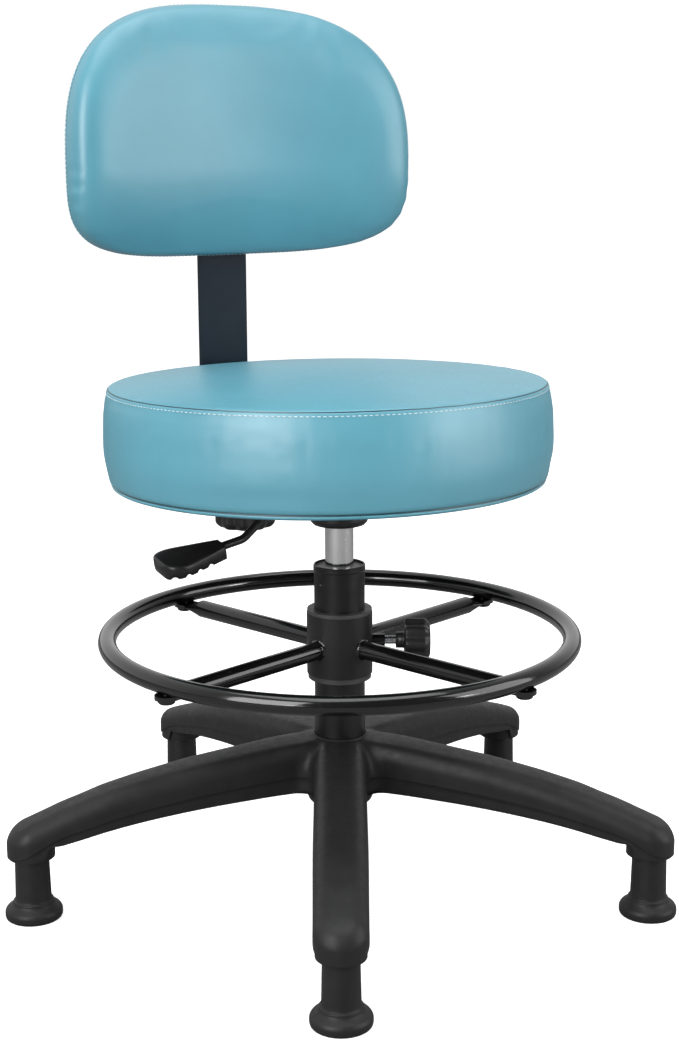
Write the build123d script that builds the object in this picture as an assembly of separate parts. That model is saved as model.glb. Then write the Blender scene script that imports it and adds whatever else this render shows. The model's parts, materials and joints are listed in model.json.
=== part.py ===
from build123d import *
import os
from math import cos, radians, sin

# Height-adjustable clinic stool: five-star nylon base on bell glides, gas lift, sliding
# footring, round padded seat and a curved D-shaped backrest on a flat steel J-bar.
# Millimetres. Origin on the floor under the column, +Z up, the sitter faces -Y.

# ---- driving dimensions -------------------------------------------------------------
# base and glides
BASE_TURN = -119.0        # direction of the first leg
LEGS = 5
STEM_CIRCLE = 311.3       # radius of the circle through the five glide stems
LEG_WIDTH = 50.0
CUP_RADIUS = 24.1
CUP_LOW = 61.4
WALL = 5.0
HUB_LOW, HUB_HIGH = 72.0, 152.0
STEM_RADIUS = 5.5
GLIDE_RADIUS = 27.5
NECK_RADIUS = 16.4

# gas lift
TUBE_RADIUS = 25.0
TUBE_LOW, TUBE_HIGH = 64.0, 325.0
TAPER_RADIUS = 23.6       # the column tube's radius at its lower end
TUBE_WALL = 1.5
CYLINDER_RADIUS = 14.0
CYLINDER_LOW, CYLINDER_HIGH = 94.0, 386.0
TAPER_START, TAPER_TIP = 366.0, 13.3
CYLINDER_BORE = 12.0
ROD_RADIUS = 5.0
FIT = 0.05                # radial clearance of every running fit

# footring
RING_RADIUS = 228.2
RING_TUBE = 9.0
RING_HEIGHT = 254.0
SPOKE_HEIGHT = 243.0
SPOKE_TURN = 18.0
RING_HUB_RADIUS = 32.5
RING_HUB_BORE = 30.0
RING_HUB_LOW, RING_HUB_HIGH = 215.3, 276.5
CLAMP_HEIGHT = 247.0
CLAMP_TURN = -29.0

# seat
SEAT_Y = 20.0             # the seat's centre lies behind the column
SEAT_LOW = 407.0
SEAT_TILT = -1.0
SEAM_RADIUS = 213.0
BULGE_RADIUS = 221.0
SEAM_HEIGHT = 93.5
CROWN_HEIGHT = 106.5
VINYL = 1.5
BOARD_RADIUS, BOARD = 200.0, 12.0
DUST_RADIUS = 196.0
PLATE = 3.0
PLATE_HALF = 62.0
PLATE_FRONT, PLATE_REAR = -70.0, 219.0
BOLT_X, BOLT_Y = 50.0, (-50.0, 185.0)
FRAME_HALF, FRAME_LOW = 29.0, 381.0   # the bent frame around the lever
SOCKET_RADIUS = 20.0      # the taper socket's upper part, welded into the frame

# release lever
PIVOT_X, LEVER_HEIGHT, LEVER_RADIUS = -28.0, 395.4, 4.0
PADDLE_AT = (-127.5, 0.0, 361.5)
PADDLE_LENGTH, PADDLE_THICK = 66.0, 15.5
PADDLE_ROLL, PADDLE_DROOP = 7.0, 10.0
PIN_RADIUS = 2.5

# back bar and backrest
BAR_HALF, BAR = 27.5, 6.0
BAR_LOW = 372.0
BAR_INNER, BAR_BEND, BAR_TOP = 42.0, 24.0, 775.0
UPRIGHT_Y = 254.0         # front face of the upright
KNOB_Y = 209.0            # the depth knob's axis
CHANNEL_FRONT, CHANNEL_REAR = 100.0, 219.0
BACK_HALF, BACK_WAIST = 190.5, 704.0
BACK_LOW, BACK_HIGH = 612.5, 868.0
UPPER_CURVE, LOWER_CURVE = 2.8, 3.9   # superellipse exponents of the D outline
BACK_CURVE = 533.0        # radius of the backrest's rear surface
BACK_REAR = 250.5
BACK_DEPTH = 52.5
BRACKET_LOW, BRACKET_HIGH = 690.0, 750.0
HEIGHT_KNOB_Z = 720.0

# clamping knobs
STUD = 4.0
PAD_RADIUS, PAD = 5.0, 2.2
STUD_END = 37.0           # from a clamp's face to the far end of its stud

os.makedirs("parts", exist_ok=True)


# ---- small helpers ------------------------------------------------------------------
def save(shape, name):
    export_step(shape, f"parts/{name}.step")


def disc(radius, low, high, x=0.0, y=0.0):
    return Pos(x, y, low) * extrude(Circle(radius), high - low)


def tube(outer, inner, low, high, x=0.0, y=0.0):
    return Pos(x, y, low) * extrude(Circle(outer) - Circle(inner), high - low)


def block(x, y, z):
    """A box between the given pairs of limits."""
    size = (x[1] - x[0], y[1] - y[0], z[1] - z[0])
    return Pos(x[0], y[0], z[0]) * Box(*size, align=(Align.MIN, Align.MIN, Align.MIN))


def turned(*points):
    """A solid of revolution about Z from its (radius, height) outline."""
    return revolve(Plane.XZ * Polygon(*points, align=None), Axis.Z)


def lathe(curve_points, *straight_points):
    """A solid of revolution whose outline is a smooth curve closed by straight runs."""
    curve = Spline(*curve_points)
    rest = Polyline(curve_points[-1], *straight_points, curve_points[0])
    return revolve(Plane.XZ * make_face([curve, rest]), Axis.Z)


def around(shape, count, start=0.0):
    """Copies of a shape at equal angles about Z."""
    return [Rot(0, 0, start + 360.0 / count * i) * shape for i in range(count)]


def fluted_knob(radius, height, lobes):
    """A hand knob standing on z = 0, with scalloped sides and a soft top edge."""
    body = fillet(disc(radius, 0, height).edges().sort_by(Axis.Z)[-1], 4.0)
    scallop = radius * 2.2 / lobes
    cut = disc(scallop, -1, height + 1, radius + scallop * 0.72)
    for tool in around(cut, lobes, 180.0 / lobes):
        body -= tool
    return body


def seated(shape):
    """Moves a part drawn on the seat's own underside plane to its place on the stool."""
    return Pos(0, SEAT_Y, SEAT_LOW) * Rot(SEAT_TILT, 0, 0) * shape


# ---- star base ----------------------------------------------------------------------
def leg_top(drop):
    """The arched top line of a leg, from the hub to the end of its cup."""
    return [(0, 151 - drop), (100, 145 - drop), (193, 131.6 - drop), (260, 115 - drop),
            (314, 97.5 - drop)]


LEG_UNDERSIDE = [(243, 85), (182, 93.6), (120, 98), (0, 99)]


def leg_side():
    """Side view of one leg with its cup, lying along +X."""
    end = STEM_CIRCLE + CUP_RADIUS
    top = Spline(*leg_top(0))
    nose = ThreePointArc((314, 97.5), (329, 89.5), (end, 76))
    throat = (STEM_CIRCLE - CUP_RADIUS, 76.5)
    cup = Polyline((end, 76), (end, CUP_LOW), (STEM_CIRCLE - CUP_RADIUS, CUP_LOW), throat)
    under = Spline(throat, *LEG_UNDERSIDE)
    return make_face([top, nose, cup, under, Line((0, 99), (0, 151))])


def leg_hollow():
    """The open underside of a leg: below its skin, between its side walls."""
    roof = Spline(*leg_top(WALL))
    rest = Polyline((314, 97.5 - WALL), (314, 0), (0, 0), (0, 151 - WALL))
    side = make_face([roof, rest])
    cavity = extrude(Plane.XZ * side, LEG_WIDTH / 2 - WALL, both=True)
    cavity &= block((44, STEM_CIRCLE - CUP_RADIUS), (-30, 30), (0, 160))
    for radius in (100, 150, 200, 250):
        cavity -= block((radius - 1.5, radius + 1.5), (-30, 30), (0, 160))
    return cavity - block((0, 320), (-1.5, 1.5), (0, 160))


def star_leg():
    half = LEG_WIDTH / 2
    plan = Polygon((0, -half), (STEM_CIRCLE, -CUP_RADIUS), (STEM_CIRCLE, CUP_RADIUS), (0, half),
                   align=None)
    plan += Pos(STEM_CIRCLE, 0) * Circle(CUP_RADIUS)
    side = extrude(Plane.XZ * leg_side(), LEG_WIDTH, both=True)
    leg = side & extrude(plan, 200)
    leg -= leg_hollow()
    return leg - disc(STEM_RADIUS + 0.9, 0, 92, STEM_CIRCLE)


def star_base():
    hub = turned((0, HUB_LOW), (33, HUB_LOW), (36, 88), (46, 98), (58, 103), (58, 138), (50, 147),
                 (38, HUB_HIGH), (0, HUB_HIGH))
    body = hub
    for leg in around(star_leg(), LEGS, BASE_TURN):
        body += leg
    bore = turned((0, 0), (TAPER_RADIUS, 0), (TAPER_RADIUS, TUBE_LOW),
                  (TUBE_RADIUS, HUB_HIGH - 2), (TUBE_RADIUS, 200), (0, 200))
    return body - bore


save(star_base(), "star_base")


# ---- glides -------------------------------------------------------------------------
def bell_glide():
    bell = turned((0, 0), (25, 0), (27.2, 1.2), (GLIDE_RADIUS, 3), (GLIDE_RADIUS, 7.5),
                  (25.8, 10.3), (20.0, 14.2), (19.2, 17.4), (17.3, 18.6),
                  (NECK_RADIUS, CUP_LOW), (0, CUP_LOW))
    return Pos(STEM_CIRCLE, 0, 0) * (bell - disc(STEM_RADIUS, 20, 70))


def on_stems(shape):
    return Compound(around(shape, LEGS, BASE_TURN))


save(on_stems(bell_glide()), "bell_glides")
save(on_stems(disc(STEM_RADIUS, 20, 91, STEM_CIRCLE)), "glide_stems")
grip = tube(STEM_RADIUS + 0.9, STEM_RADIUS, 74, 86, STEM_CIRCLE)
grip -= block((STEM_CIRCLE, STEM_CIRCLE + 10), (-0.8, 0.8), (70, 90))
save(on_stems(grip), "stem_grip_rings")


# ---- gas lift -----------------------------------------------------------------------
def column_tube():
    inner = TUBE_RADIUS - TUBE_WALL
    foot = TAPER_RADIUS - TUBE_WALL
    outside = turned((0, TUBE_LOW), (TAPER_RADIUS, TUBE_LOW), (TUBE_RADIUS, HUB_HIGH - 2),
                     (TUBE_RADIUS, TUBE_HIGH - 6), (TUBE_RADIUS + 0.6, TUBE_HIGH - 5),
                     (TUBE_RADIUS + 0.6, TUBE_HIGH - 1), (TUBE_RADIUS, TUBE_HIGH),
                     (0, TUBE_HIGH))
    inside = turned((0, TUBE_LOW + 3), (foot, TUBE_LOW + 3), (inner, HUB_HIGH - 2),
                    (inner, TUBE_HIGH + 1), (0, TUBE_HIGH + 1))
    body = outside - inside - disc(STUD + FIT, TUBE_LOW - 1, TUBE_LOW + 4)
    for dimple in around(Pos(TUBE_RADIUS + 2.2, 0, 308) * Sphere(3.2), 3, -44):
        body -= dimple
    return body


save(column_tube(), "column_tube")
save(tube(TUBE_RADIUS - TUBE_WALL - 0.02, CYLINDER_RADIUS + FIT, 243, TUBE_HIGH - 2),
     "guide_bush")
save(tube(13, ROD_RADIUS + 0.4, 67, 69), "lower_bearing_washer")

rod = disc(STUD, 57, 75.1) + disc(ROD_RADIUS, 75, 335) + disc(STUD, 335, 350)
rod -= tube(10, STUD - 0.7, 60, 61.6)
save(rod, "piston_rod")
clip = tube(8, STUD - 0.65, 60.1, 61.5) - block((0, 10), (-2.6, 2.6), (59, 63))
save(clip, "retaining_clip")
save(tube(11, STUD + 0.1, 61.7, 63.8), "clip_washer")
save(tube(13, STUD, 73, 75), "upper_bearing_washer")

ball = Pos(9, 0, 71) * Sphere(1.98)
save(Compound(around(ball, 12)), "bearing_balls")
cage = tube(12.2, 5.8, 70.3, 71.7)
for hole in around(disc(2.1, 70, 72, 9), 12):
    cage -= hole
save(cage, "ball_cage")
save(turned((ROD_RADIUS, 75), (12, 75), (12, 79), (10.5, 81), (12, 84), (12, 88), (10.5, 92),
            (ROD_RADIUS, 92)), "bump_stop")

piston = tube(11.6, STUD, 335, 349)
piston -= tube(12, 9.6, 340, 344)
save(piston, "lift_piston")
save(tube(CYLINDER_BORE - FIT, 9.6, 340, 344), "piston_seal")

cylinder = turned((CYLINDER_BORE, CYLINDER_LOW), (CYLINDER_RADIUS, CYLINDER_LOW),
                  (CYLINDER_RADIUS, TAPER_START), (TAPER_TIP, CYLINDER_HIGH), (4.5, CYLINDER_HIGH),
                  (4.5, CYLINDER_HIGH - 2), (CYLINDER_BORE - 0.6, CYLINDER_HIGH - 2),
                  (CYLINDER_BORE, CYLINDER_HIGH - 22))
save(cylinder, "gas_cylinder")
save(tube(CYLINDER_BORE, ROD_RADIUS + FIT, 96, 116), "cylinder_guide")
save(tube(CYLINDER_BORE, ROD_RADIUS + FIT, 116, 122), "rod_seal")
valve = disc(CYLINDER_BORE - 0.6, 358, CYLINDER_HIGH - 2) - disc(STUD + FIT, 366, 390)
save(valve, "valve_body")
pin = chamfer(disc(STUD, 372, 391).edges().sort_by(Axis.Z)[-1], 1.2)
save(pin, "valve_pin")


# ---- footring -----------------------------------------------------------------------
bush_bore = TUBE_RADIUS + FIT
bush_skin = RING_HUB_BORE - FIT
upper_bush = tube(bush_skin, bush_bore, 252, 276.7)
upper_bush += tube(32, bush_bore, RING_HUB_HIGH + FIT, 280.2)
lower_bush = tube(bush_skin, bush_bore, 215, 242)
lower_bush += tube(31.3, bush_bore, 210, RING_HUB_LOW - FIT)
save(Compound([upper_bush, lower_bush]), "ring_bushes")

spoke_reach = RING_RADIUS - 28.0


def spoke():
    """A tube from the hub whose outer end is pressed flat and runs under the ring."""
    level = Plane.YZ
    pipe = Pos(28, 0, SPOKE_HEIGHT) * extrude(level * Circle(RING_TUBE), spoke_reach - 28)
    start = Pos(spoke_reach, 0, SPOKE_HEIGHT) * (level * Circle(RING_TUBE))
    end = Pos(spoke_reach + 16, 0, SPOKE_HEIGHT) * (level * Ellipse(11, 2))
    neck = loft([start, end])
    tongue = block((spoke_reach + 15.9, RING_RADIUS), (-11, 11), (241, 245))
    tongue += disc(11, 241, 245, RING_RADIUS)
    bore = Pos(20, 0, SPOKE_HEIGHT) * extrude(level * Circle(RING_TUBE - 1.5), spoke_reach - 22)
    body = pipe + neck + tongue - bore - disc(RING_HUB_RADIUS, 200, 300)
    return body - disc(3.1, 230, 260, RING_RADIUS)


ring_section = Circle(RING_TUBE) - Circle(RING_TUBE - 1.5)
ring = revolve(Plane.XZ * Pos(RING_RADIUS, RING_HEIGHT) * ring_section, Axis.Z)
save(ring, "foot_ring")
save(Compound(around(spoke(), 4, SPOKE_TURN)), "ring_spokes")

head = fillet(disc(8, 236.5, 241, RING_RADIUS).edges().sort_by(Axis.Z)[0], 2.5)
save(Compound(around(head + disc(3, 241, 249, RING_RADIUS), 4, SPOKE_TURN)), "spoke_bolts")


def clamp_axis(shape):
    """Places a part drawn along +Z from the column's axis onto the footring's clamp axis."""
    return Rot(0, 0, CLAMP_TURN) * Pos(0, 0, CLAMP_HEIGHT) * Rot(0, 90, 0) * shape


hub = tube(RING_HUB_RADIUS, RING_HUB_BORE, RING_HUB_LOW, RING_HUB_HIGH)
save(hub - clamp_axis(disc(4.6, 20, 40)), "ring_hub")
boss = tube(6, STUD + FIT, 31, 44.7)
save(clamp_axis(boss) - disc(RING_HUB_RADIUS, 200, 300), "ring_clamp_nut")


# ---- clamping sets: a pad, a threaded stud and a fluted knob -------------------------
def clamp_pad(radius, length):
    return disc(radius, 0, length)


def clamp_stud(length):
    return disc(STUD, 0, length)


def clamp_knob(radius, height, lobes, neck_radius, neck, grip):
    """A knob on a short neck, with a blind hole for the stud reaching grip deep."""
    body = Pos(0, 0, neck) * fluted_knob(radius, height, lobes) + disc(neck_radius, 0, neck)
    return body - disc(STUD, -1, grip)


ring_pad_face = bush_bore + 0.03
save(clamp_axis(Pos(0, 0, ring_pad_face) * clamp_pad(4.5, 4.4)), "ring_clamp_pad")
save(clamp_axis(Pos(0, 0, ring_pad_face + 4.4) * clamp_stud(45)), "ring_knob_stud")
ring_knob = Pos(0, 0, 55.5) * clamp_knob(22, 25.3, 8, 8, 8.5, ring_pad_face + 49.4 - 55.5)
save(clamp_axis(ring_knob), "ring_knob")


# ---- seat mechanism -----------------------------------------------------------------
def plate_part(shape):
    """Trims a mechanism part to what lies below the seat plate."""
    return shape - seated(block((-200, 200), (-300, 300), (-PLATE, 60)))


plate = block((-PLATE_HALF, PLATE_HALF), (PLATE_FRONT - SEAT_Y, PLATE_REAR - SEAT_Y), (-PLATE, 0))
for side in (-1, 1):
    x = sorted((side * PLATE_HALF, side * (PLATE_HALF - PLATE)))
    flange = block(x, (PLATE_FRONT - SEAT_Y, PLATE_REAR - SEAT_Y), (-PLATE - 8, -PLATE))
    plate += flange - block((-70, -50), (-SEAT_Y - 16, -SEAT_Y + 16), (-20, -PLATE))
bolt_places = [(side * BOLT_X, y - SEAT_Y) for side in (-1, 1) for y in BOLT_Y]
for x, y in bolt_places:
    plate -= disc(4.3, -10, 5, x, y)
save(seated(plate), "seat_plate")

inside = FRAME_HALF - PLATE
frame = block((-50, 40), (-FRAME_HALF, FRAME_HALF), (FRAME_LOW, 410))
frame -= block((-60, 50), (-inside, inside), (FRAME_LOW + PLATE, 411))
frame -= disc(SOCKET_RADIUS + FIT, 370, 400)
pin_hole = Pos(PIVOT_X, 0, LEVER_HEIGHT) * Rot(90, 0, 0)
frame -= pin_hole * Cylinder(PIN_RADIUS, 80)
save(plate_part(frame), "lever_frame")

cup = turned((CYLINDER_RADIUS, 364.5), (22.5, 364.5), (25.4, 365.4), (27.6, 367.8), (28.5, 371),
             (28.5, FRAME_LOW), (SOCKET_RADIUS, FRAME_LOW), (SOCKET_RADIUS, CYLINDER_HIGH),
             (TAPER_TIP, CYLINDER_HIGH), (CYLINDER_RADIUS, TAPER_START))
save(cup, "taper_hub")

pivot = pin_hole * Cylinder(PIN_RADIUS, 62)
for end in (-1, 1):
    pivot += Pos(PIVOT_X, end * 30.5, LEVER_HEIGHT) * Rot(90, 0, 0) * Cylinder(4.2, 1.8)
save(pivot, "lever_pivot_pin")

channel = block((-31, 31), (CHANNEL_FRONT, CHANNEL_REAR), (367, 410))
channel -= block((-28, 28), (0, 300), (371, BAR_LOW + BAR + 0.3))
channel -= block((-28, 28), (0, 300), (BAR_LOW + BAR + 3.3, 411))
channel -= disc(5.1, 360, 372, 0, KNOB_Y)
save(plate_part(channel), "bar_channel")
save(tube(8, STUD + FIT, 359, 367, 0, KNOB_Y), "depth_clamp_nut")

pad_top = BAR_LOW - 0.05
knob_down = Pos(0, KNOB_Y, 0) * Pos(0, 0, pad_top) * Rot(180, 0, 0)
save(knob_down * clamp_pad(PAD_RADIUS, PAD), "depth_clamp_pad")
save(knob_down * Pos(0, 0, PAD) * clamp_stud(STUD_END - PAD), "depth_knob_stud")
neck_top = pad_top - 355.0
depth_knob = Pos(0, 0, neck_top) * clamp_knob(32.8, 25, 9, 9, 7, STUD_END - neck_top)
save(knob_down * depth_knob, "depth_knob")

bolt = Pos(0, 0, -PLATE - 5.3) * extrude(RegularPolygon(7.5, 6), 5.3)
bolt += disc(4, -PLATE, 14)
save(Compound([seated(Pos(x, y) * bolt) for x, y in bolt_places]), "seat_bolts")
tee_nut = tube(5.5, STUD, 3, BOARD + 1) + tube(11, STUD, BOARD + 1, BOARD + 2.4)
save(Compound([seated(Pos(x, y) * tee_nut) for x, y in bolt_places]), "seat_tee_nuts")


# ---- release lever ------------------------------------------------------------------
route = FilletPolyline((6, 0, LEVER_HEIGHT), (-64, 0, LEVER_HEIGHT), (-104, 0, 361.5),
                       (-138, 0, 354.5), radius=14)
lever = sweep(Plane(origin=route @ 0, z_dir=route % 0) * Circle(LEVER_RADIUS), path=route)
lever += Pos(PIVOT_X, 0, LEVER_HEIGHT) * Rot(90, 0, 0) * Cylinder(6.5, 14)
lever -= pin_hole * Cylinder(PIN_RADIUS + FIT, 80)
save(lever, "lever_rod")


def paddle():
    """The finger paddle drawn along +X with its flat top on z = 0."""
    outline = Spline((0, 10.5), (24, 18.5), (49, 25), (62, 18.5), (PADDLE_LENGTH, 0),
                     (62, -18.5), (49, -25), (24, -18.5), (0, -10.5))
    face = make_face([outline, Line((0, -10.5), (0, 10.5))])
    body = extrude(face, -PADDLE_THICK)
    body = fillet(body.edges().group_by(Axis.Z)[-1], 2.0)
    for i in range(4):
        groove = Pos(19 + 13.0 * i, 0, -PADDLE_THICK - 2.2) * Rot(90, 0, 0)
        body -= groove * Cylinder(5.6, 80)
    return body


paddle_place = Pos(*PADDLE_AT) * Rot(0, 0, 180) * Rot(-PADDLE_ROLL, PADDLE_DROOP, 0)
save(paddle_place * paddle() - lever, "lever_paddle")


# ---- seat cushion -------------------------------------------------------------------
def seat_form(skin):
    """The cushion's outside, or its foam when skin is the vinyl's thickness."""
    side = [(BULGE_RADIUS - 11 - skin, skin), (BULGE_RADIUS - 4 - skin, 20),
            (BULGE_RADIUS - skin, 50), (BULGE_RADIUS - 1.5 - skin, 75),
            (SEAM_RADIUS - skin, SEAM_HEIGHT - skin)]
    crown = [(SEAM_RADIUS - skin, SEAM_HEIGHT - skin), (150, CROWN_HEIGHT - 4.5 - skin),
             (0, CROWN_HEIGHT - skin)]
    lines = [Spline(*side), Spline(*crown, tangents=((-1, 0.45), (-1, 0))),
             Polyline(crown[-1], (0, skin), side[0])]
    return revolve(Plane.XZ * make_face(lines), Axis.Z)


board = disc(BOARD_RADIUS, 1, BOARD + 1)
for x, y in bolt_places:
    board -= disc(5.5, 0, 20, x, y)
tee_room = [disc(11, BOARD + 1, BOARD + 2.4, x, y) for x, y in bolt_places]
foam = seat_form(VINYL) - disc(BOARD_RADIUS, 0, BOARD + 1)
for room in tee_room:
    foam -= room
cover = seat_form(0) - seat_form(VINYL) - disc(BOARD_RADIUS, 1, BOARD) - disc(DUST_RADIUS, -1, 2)
dust = disc(DUST_RADIUS, 0, 1)
for x, y in bolt_places:
    dust -= disc(5.5, -1, 2, x, y)
save(seated(board), "seat_board")
save(seated(foam), "seat_foam")
save(seated(cover), "seat_cover")
save(seated(dust), "seat_dust_cover")


# ---- back bar -----------------------------------------------------------------------
def back_bar():
    """Flat bar: along under the seat, round a bend, then up behind the backrest."""
    bend_y, bend_z = UPRIGHT_Y - BAR_BEND, BAR_LOW + BAR + BAR_BEND
    outer = BAR_BEND + BAR
    corner = sin(radians(45))
    side = make_face([
        Line((BAR_INNER, BAR_LOW + BAR), (bend_y, BAR_LOW + BAR)),
        ThreePointArc((bend_y, BAR_LOW + BAR),
                      (bend_y + BAR_BEND * corner, bend_z - BAR_BEND * corner),
                      (UPRIGHT_Y, bend_z)),
        Polyline((UPRIGHT_Y, bend_z), (UPRIGHT_Y, BAR_TOP), (UPRIGHT_Y + BAR, BAR_TOP),
                 (UPRIGHT_Y + BAR, bend_z)),
        ThreePointArc((UPRIGHT_Y + BAR, bend_z), (bend_y + outer * corner, bend_z - outer * corner),
                      (bend_y, BAR_LOW)),
        Polyline((bend_y, BAR_LOW), (BAR_INNER, BAR_LOW), (BAR_INNER, BAR_LOW + BAR)),
    ])
    bar = extrude(Plane.YZ * side, BAR_HALF, both=True)
    return bar - disc(3, 360, 400, 0, BAR_INNER + 7)


save(back_bar(), "back_bar")
stop = disc(5, BAR_LOW - 3.4, BAR_LOW, 0, BAR_INNER + 7)
save(stop + disc(3, BAR_LOW, BAR_LOW + BAR, 0, BAR_INNER + 7), "bar_stop_screw")


# ---- backrest -----------------------------------------------------------------------
def back_outline(inset):
    """D-shaped front view: two half superellipses on the widest level."""
    half = BACK_HALF - inset
    points = []
    for step in range(48):
        turn = radians(7.5 * step)
        top = sin(turn) >= 0
        reach = (BACK_HIGH - BACK_WAIST if top else BACK_WAIST - BACK_LOW) - inset
        power = 2 / UPPER_CURVE if top else 2 / LOWER_CURVE
        x = half * abs(cos(turn)) ** power * (1 if cos(turn) >= 0 else -1)
        z = reach * abs(sin(turn)) ** power * (1 if top else -1)
        points.append((x, BACK_WAIST + z))
    return make_face(Spline(*points, periodic=True))


def back_layer(inset, outer, inner):
    """A slab of the backrest between two radii about its vertical centre of curvature."""
    slab = extrude(Plane.XZ * back_outline(inset), 400, both=True)
    shell = tube(outer, inner, 600, 880, 0, BACK_REAR - BACK_CURVE)
    return slab & shell & block((-250, 250), (0, 400), (600, 880))


def back_axis(x, z, y):
    """Places a part drawn along +Z so that it points to the rear, from the given depth."""
    return Pos(x, y, z) * Rot(-90, 0, 0)


screw_places = [(side * 40.0, z) for side in (-1, 1) for z in (702.0, 738.0)]
shell_front = BACK_CURVE - 4.0
board_front = shell_front - 12.0
cover_front = BACK_CURVE - BACK_DEPTH
back_shell = back_layer(3, BACK_CURVE, shell_front)
back_board = back_layer(7, shell_front, board_front)
back_foam = back_layer(VINYL, board_front, cover_front + VINYL)
back_cover = back_layer(0, shell_front, cover_front) - back_layer(VINYL, board_front,
                                                                  cover_front + VINYL)
back_cover -= back_layer(7, shell_front, board_front)
tee_flange = 231.5
for x, z in screw_places:
    back_shell -= back_axis(x, z, 230) * disc(3.1, 0, 30)
    back_board -= back_axis(x, z, 225) * disc(5, 0, 30) + back_axis(x, z, 225) * disc(9, 0, 8)
    back_foam -= back_axis(x, z, tee_flange) * disc(9, 0, 3)
save(back_shell, "back_shell")
save(back_board, "back_board")
save(back_foam, "back_foam")
save(back_cover, "back_cover")
back_nut = tube(9, 3, 0, 1.4) + tube(5, 3, 1.4, 12.5)
save(Compound([back_axis(x, z, tee_flange) * back_nut for x, z in screw_places]), "back_tee_nuts")

bracket_front = (BACK_REAR + 0.3, UPRIGHT_Y - 0.2)
bracket_rear = (UPRIGHT_Y + BAR + 2.0, UPRIGHT_Y + BAR + 6.0)
bracket = block((-48, 48), bracket_front, (BRACKET_LOW - 4, BRACKET_HIGH + 4))
bracket += block((-31, 31), (bracket_front[0], bracket_rear[1]), (BRACKET_LOW, BRACKET_HIGH))
bracket -= block((-27.8, 27.8), (bracket_front[1], bracket_rear[0]), (600, 800))
bracket -= back_axis(0, HEIGHT_KNOB_Z, 260) * disc(5.1, 0, 10)
for x, z in screw_places:
    bracket -= back_axis(x, z, 240) * disc(3.1, 0, 30)
save(bracket, "back_bracket")
screw = disc(3, 0, bracket_front[1] - 234.0) + fillet(
    disc(6, bracket_front[1] - 234.0, bracket_front[1] - 230.8).edges().sort_by(Axis.Z)[-1], 2)
save(Compound([back_axis(x, z, 234.0) * screw for x, z in screw_places]), "bracket_screws")

nut_place = back_axis(0, HEIGHT_KNOB_Z, bracket_rear[1])
save(nut_place * tube(8, STUD + FIT, 0, 7), "height_clamp_nut")
height_axis = back_axis(0, HEIGHT_KNOB_Z, UPRIGHT_Y + BAR + FIT)
save(height_axis * clamp_pad(PAD_RADIUS, PAD), "height_clamp_pad")
save(height_axis * Pos(0, 0, PAD) * clamp_stud(STUD_END - PAD), "height_knob_stud")
height_neck = 16.5
height_knob = Pos(0, 0, height_neck) * clamp_knob(22, 22, 8, 8, 7, STUD_END - height_neck)
save(height_axis * height_knob, "height_knob")
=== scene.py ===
import json
import math

import bpy
import numpy as np
from mathutils import Matrix, Vector
from mathutils.kdtree import KDTree


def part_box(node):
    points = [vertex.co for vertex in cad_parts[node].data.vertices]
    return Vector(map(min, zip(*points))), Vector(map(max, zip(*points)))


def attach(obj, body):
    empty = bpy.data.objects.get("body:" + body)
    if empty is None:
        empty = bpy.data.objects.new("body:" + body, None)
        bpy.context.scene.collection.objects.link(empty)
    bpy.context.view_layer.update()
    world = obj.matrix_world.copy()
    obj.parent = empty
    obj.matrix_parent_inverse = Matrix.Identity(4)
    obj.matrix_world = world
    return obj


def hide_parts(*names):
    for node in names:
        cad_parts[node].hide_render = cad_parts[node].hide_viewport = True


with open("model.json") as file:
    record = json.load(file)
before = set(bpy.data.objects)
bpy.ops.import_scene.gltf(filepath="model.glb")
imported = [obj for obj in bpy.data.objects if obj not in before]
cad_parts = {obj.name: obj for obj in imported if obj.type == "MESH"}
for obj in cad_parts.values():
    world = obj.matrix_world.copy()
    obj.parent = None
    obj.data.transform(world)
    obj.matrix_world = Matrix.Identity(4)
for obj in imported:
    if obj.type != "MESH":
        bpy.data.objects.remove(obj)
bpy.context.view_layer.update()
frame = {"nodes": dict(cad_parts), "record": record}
MM = 0.001

# ---- where things are, in the part's frame -------------------------------------------
LEG_TURN = math.radians(-119)
LEG_STEP = math.radians(72)
CLAMP_TURN = math.radians(-29)
SPOKE_TURN = math.radians(18)
STEM_CIRCLE = 311.3                # radius through the five glide stems, in millimetres
CLAMP_HEIGHT, RING_KNOB_AT = 247.0, 55.5
DEPTH_KNOB_AT, HEIGHT_KNOB_AT = (0, 209, 355), (0, 276.55, 720)
PADDLE_AT, PADDLE_ROLL, PADDLE_DROOP = (-127.5, 0, 361.5), math.radians(-7), math.radians(10)
SEAT_TILT = math.radians(-1)
dust_low, dust_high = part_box("seat_dust_cover")
SEAT_PLACE = (Matrix.Translation((dust_low + dust_high) / 2)
              @ Matrix.Rotation(SEAT_TILT, 4, "X") @ Matrix.Translation((0, 0, -0.5 * MM)))


# ---- mesh helpers -------------------------------------------------------------------
def new_object(name, verts, faces, place=None):
    """A smooth mesh object from points in millimetres."""
    mesh = bpy.data.meshes.new(name)
    mesh.from_pydata([tuple(c * MM for c in v) for v in verts], [], faces)
    if place is not None:
        mesh.transform(place)
    mesh.validate()
    mesh.update()
    mesh.shade_smooth()
    piece = bpy.data.objects.new(name, mesh)
    bpy.context.scene.collection.objects.link(piece)
    return piece


def grid_faces(rows, columns, closed_columns=True, closed_rows=False):
    """Quads of a grid whose points are stored row by row."""
    faces = []
    for i in range(rows if closed_rows else rows - 1):
        for j in range(columns if closed_columns else columns - 1):
            a = i * columns + j
            b = i * columns + (j + 1) % columns
            up = ((i + 1) % rows - i) * columns
            faces.append((a, b, b + up, a + up))
    return faces


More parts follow.
